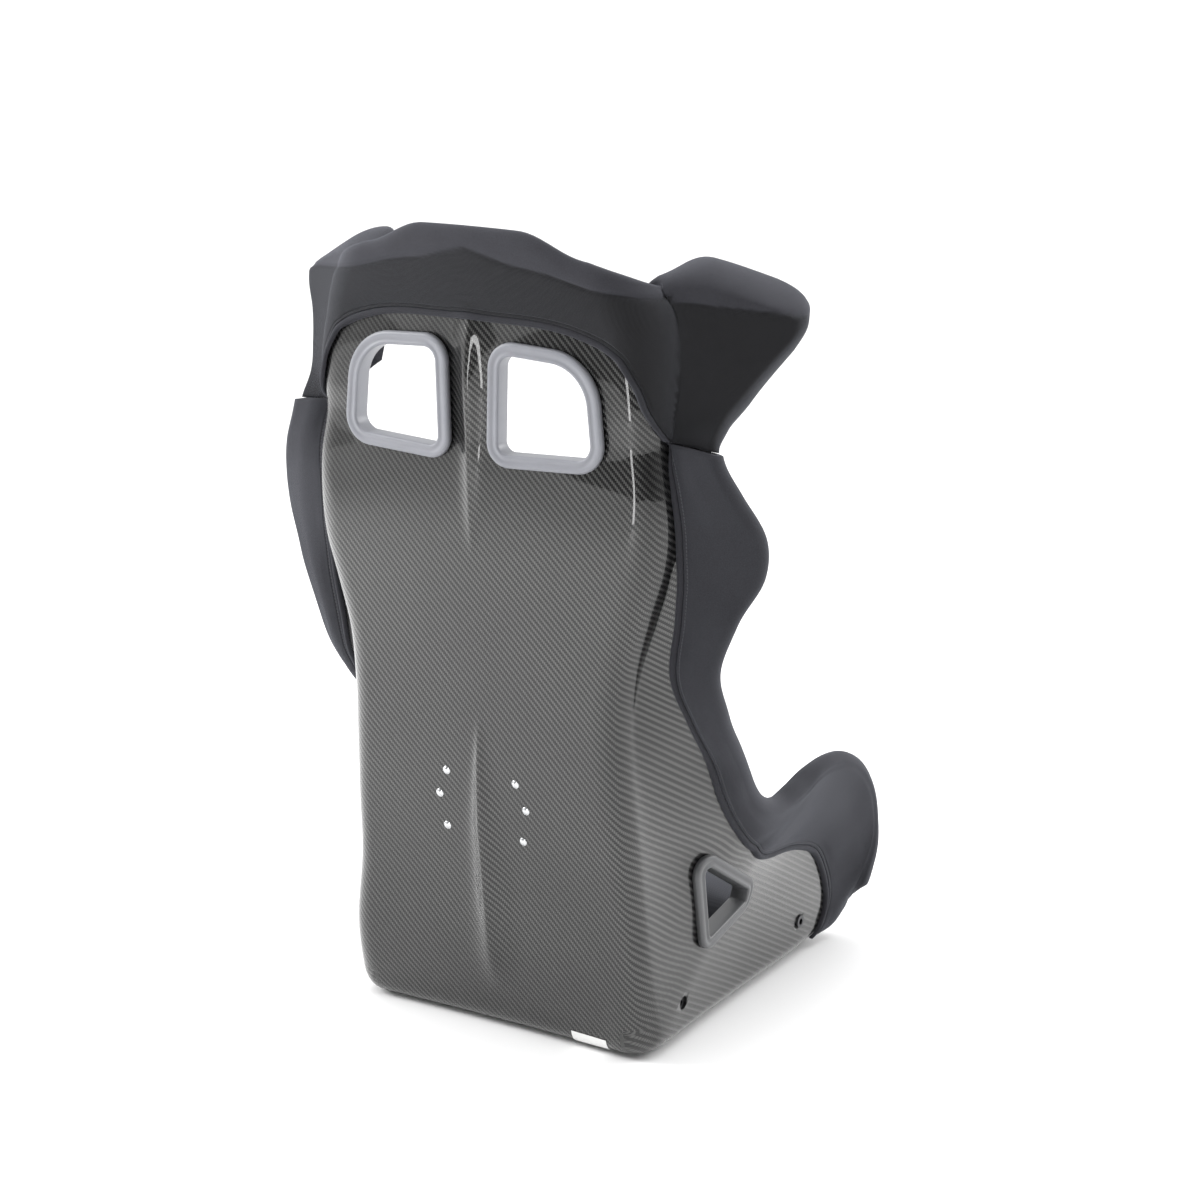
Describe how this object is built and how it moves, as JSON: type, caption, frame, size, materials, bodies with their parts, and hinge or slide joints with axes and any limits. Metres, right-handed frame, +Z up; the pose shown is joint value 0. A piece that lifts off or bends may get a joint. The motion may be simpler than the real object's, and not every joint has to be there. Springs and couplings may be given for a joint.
{
  "type": "competition bucket seat",
  "caption": "One-piece carbon bucket seat with padded head restraint wings, shoulder and thigh bolsters, harness slots and side mounts.",
  "frame": {"origin": "on the flat base plane, on the plane of symmetry, midway between the front and rear side-mount inserts", "axes": "+Z up, the occupant faces -Y, +X is the occupant's left"},
  "size_m": [0.6588, 0.5525, 0.946],
  "materials": {
    "carbon_laminate": "clear-coated 2x2 twill carbon laminate",
    "mesh_fabric": "black spacer mesh",
    "knit_fabric": "black brushed knit",
    "binding_fabric": "black elastic binding",
    "cushion_mesh_fabric": "black mesh fabric over foam",
    "pad_fabric": "black knit over foam",
    "hook_tape": "black hook-and-loop tape",
    "grey_plastic": "moulded, satin",
    "dark_grey_plastic": "moulded, satin",
    "black_plastic": "moulded, matt",
    "steel_insert": "zinc plated",
    "aluminium_plate": "mill finish",
    "rivet_metal": "bright domed heads",
    "label_film": "blank white film"
  },
  "bodies": {
    "seat_shell": {"shell": "carbon_laminate", "head_cover": "mesh_fabric", "side_cover_left": "knit_fabric", "side_cover_right": "knit_fabric", "head_hem": "binding_fabric", "side_hem_left": "binding_fabric", "side_hem_right": "binding_fabric", "head_pad": "pad_fabric", "shoulder_pad_left": "pad_fabric", "shoulder_pad_right": "pad_fabric", "hip_pad_left": "pad_fabric", "hip_pad_right": "pad_fabric", "upper_back_cushion": "cushion_mesh_fabric", "thigh_cushion": "cushion_mesh_fabric", "back_fastener_strips": "hook_tape", "seat_fastener_strips": "hook_tape", "shoulder_bezel_left": "grey_plastic", "shoulder_bezel_right": "grey_plastic", "shoulder_liner_left": "black_plastic", "shoulder_liner_right": "black_plastic", "lap_bezel_left": "dark_grey_plastic", "lap_bezel_right": "dark_grey_plastic", "lap_liner_left": "black_plastic", "lap_liner_right": "black_plastic", "crotch_bezel": "black_plastic", "mount_plate_left": "aluminium_plate", "mount_plate_right": "aluminium_plate", "mount_insert_rear_left": "steel_insert", "mount_insert_front_left": "steel_insert", "mount_insert_rear_right": "steel_insert", "mount_insert_front_right": "steel_insert", "brace_plate_left": "aluminium_plate", "brace_plate_right": "aluminium_plate", "brace_rivets": "rivet_metal", "label_plate": "label_film"},
    "seat_cushion_body": {"seat_cushion": "cushion_mesh_fabric"},
    "lumbar_cushion_body": {"lumbar_cushion": "cushion_mesh_fabric"}
  },
  "joints": [
    {"name": "seat_cushion_lift", "type": "slide", "parent": "seat_shell", "child": "seat_cushion_body", "axis": [0, 0, 1], "range_m": [0, 0.12]},
    {"name": "lumbar_cushion_pull", "type": "slide", "parent": "seat_shell", "child": "lumbar_cushion_body", "axis": [0, -1, 0], "range_m": [0, 0.1]}
  ]
}
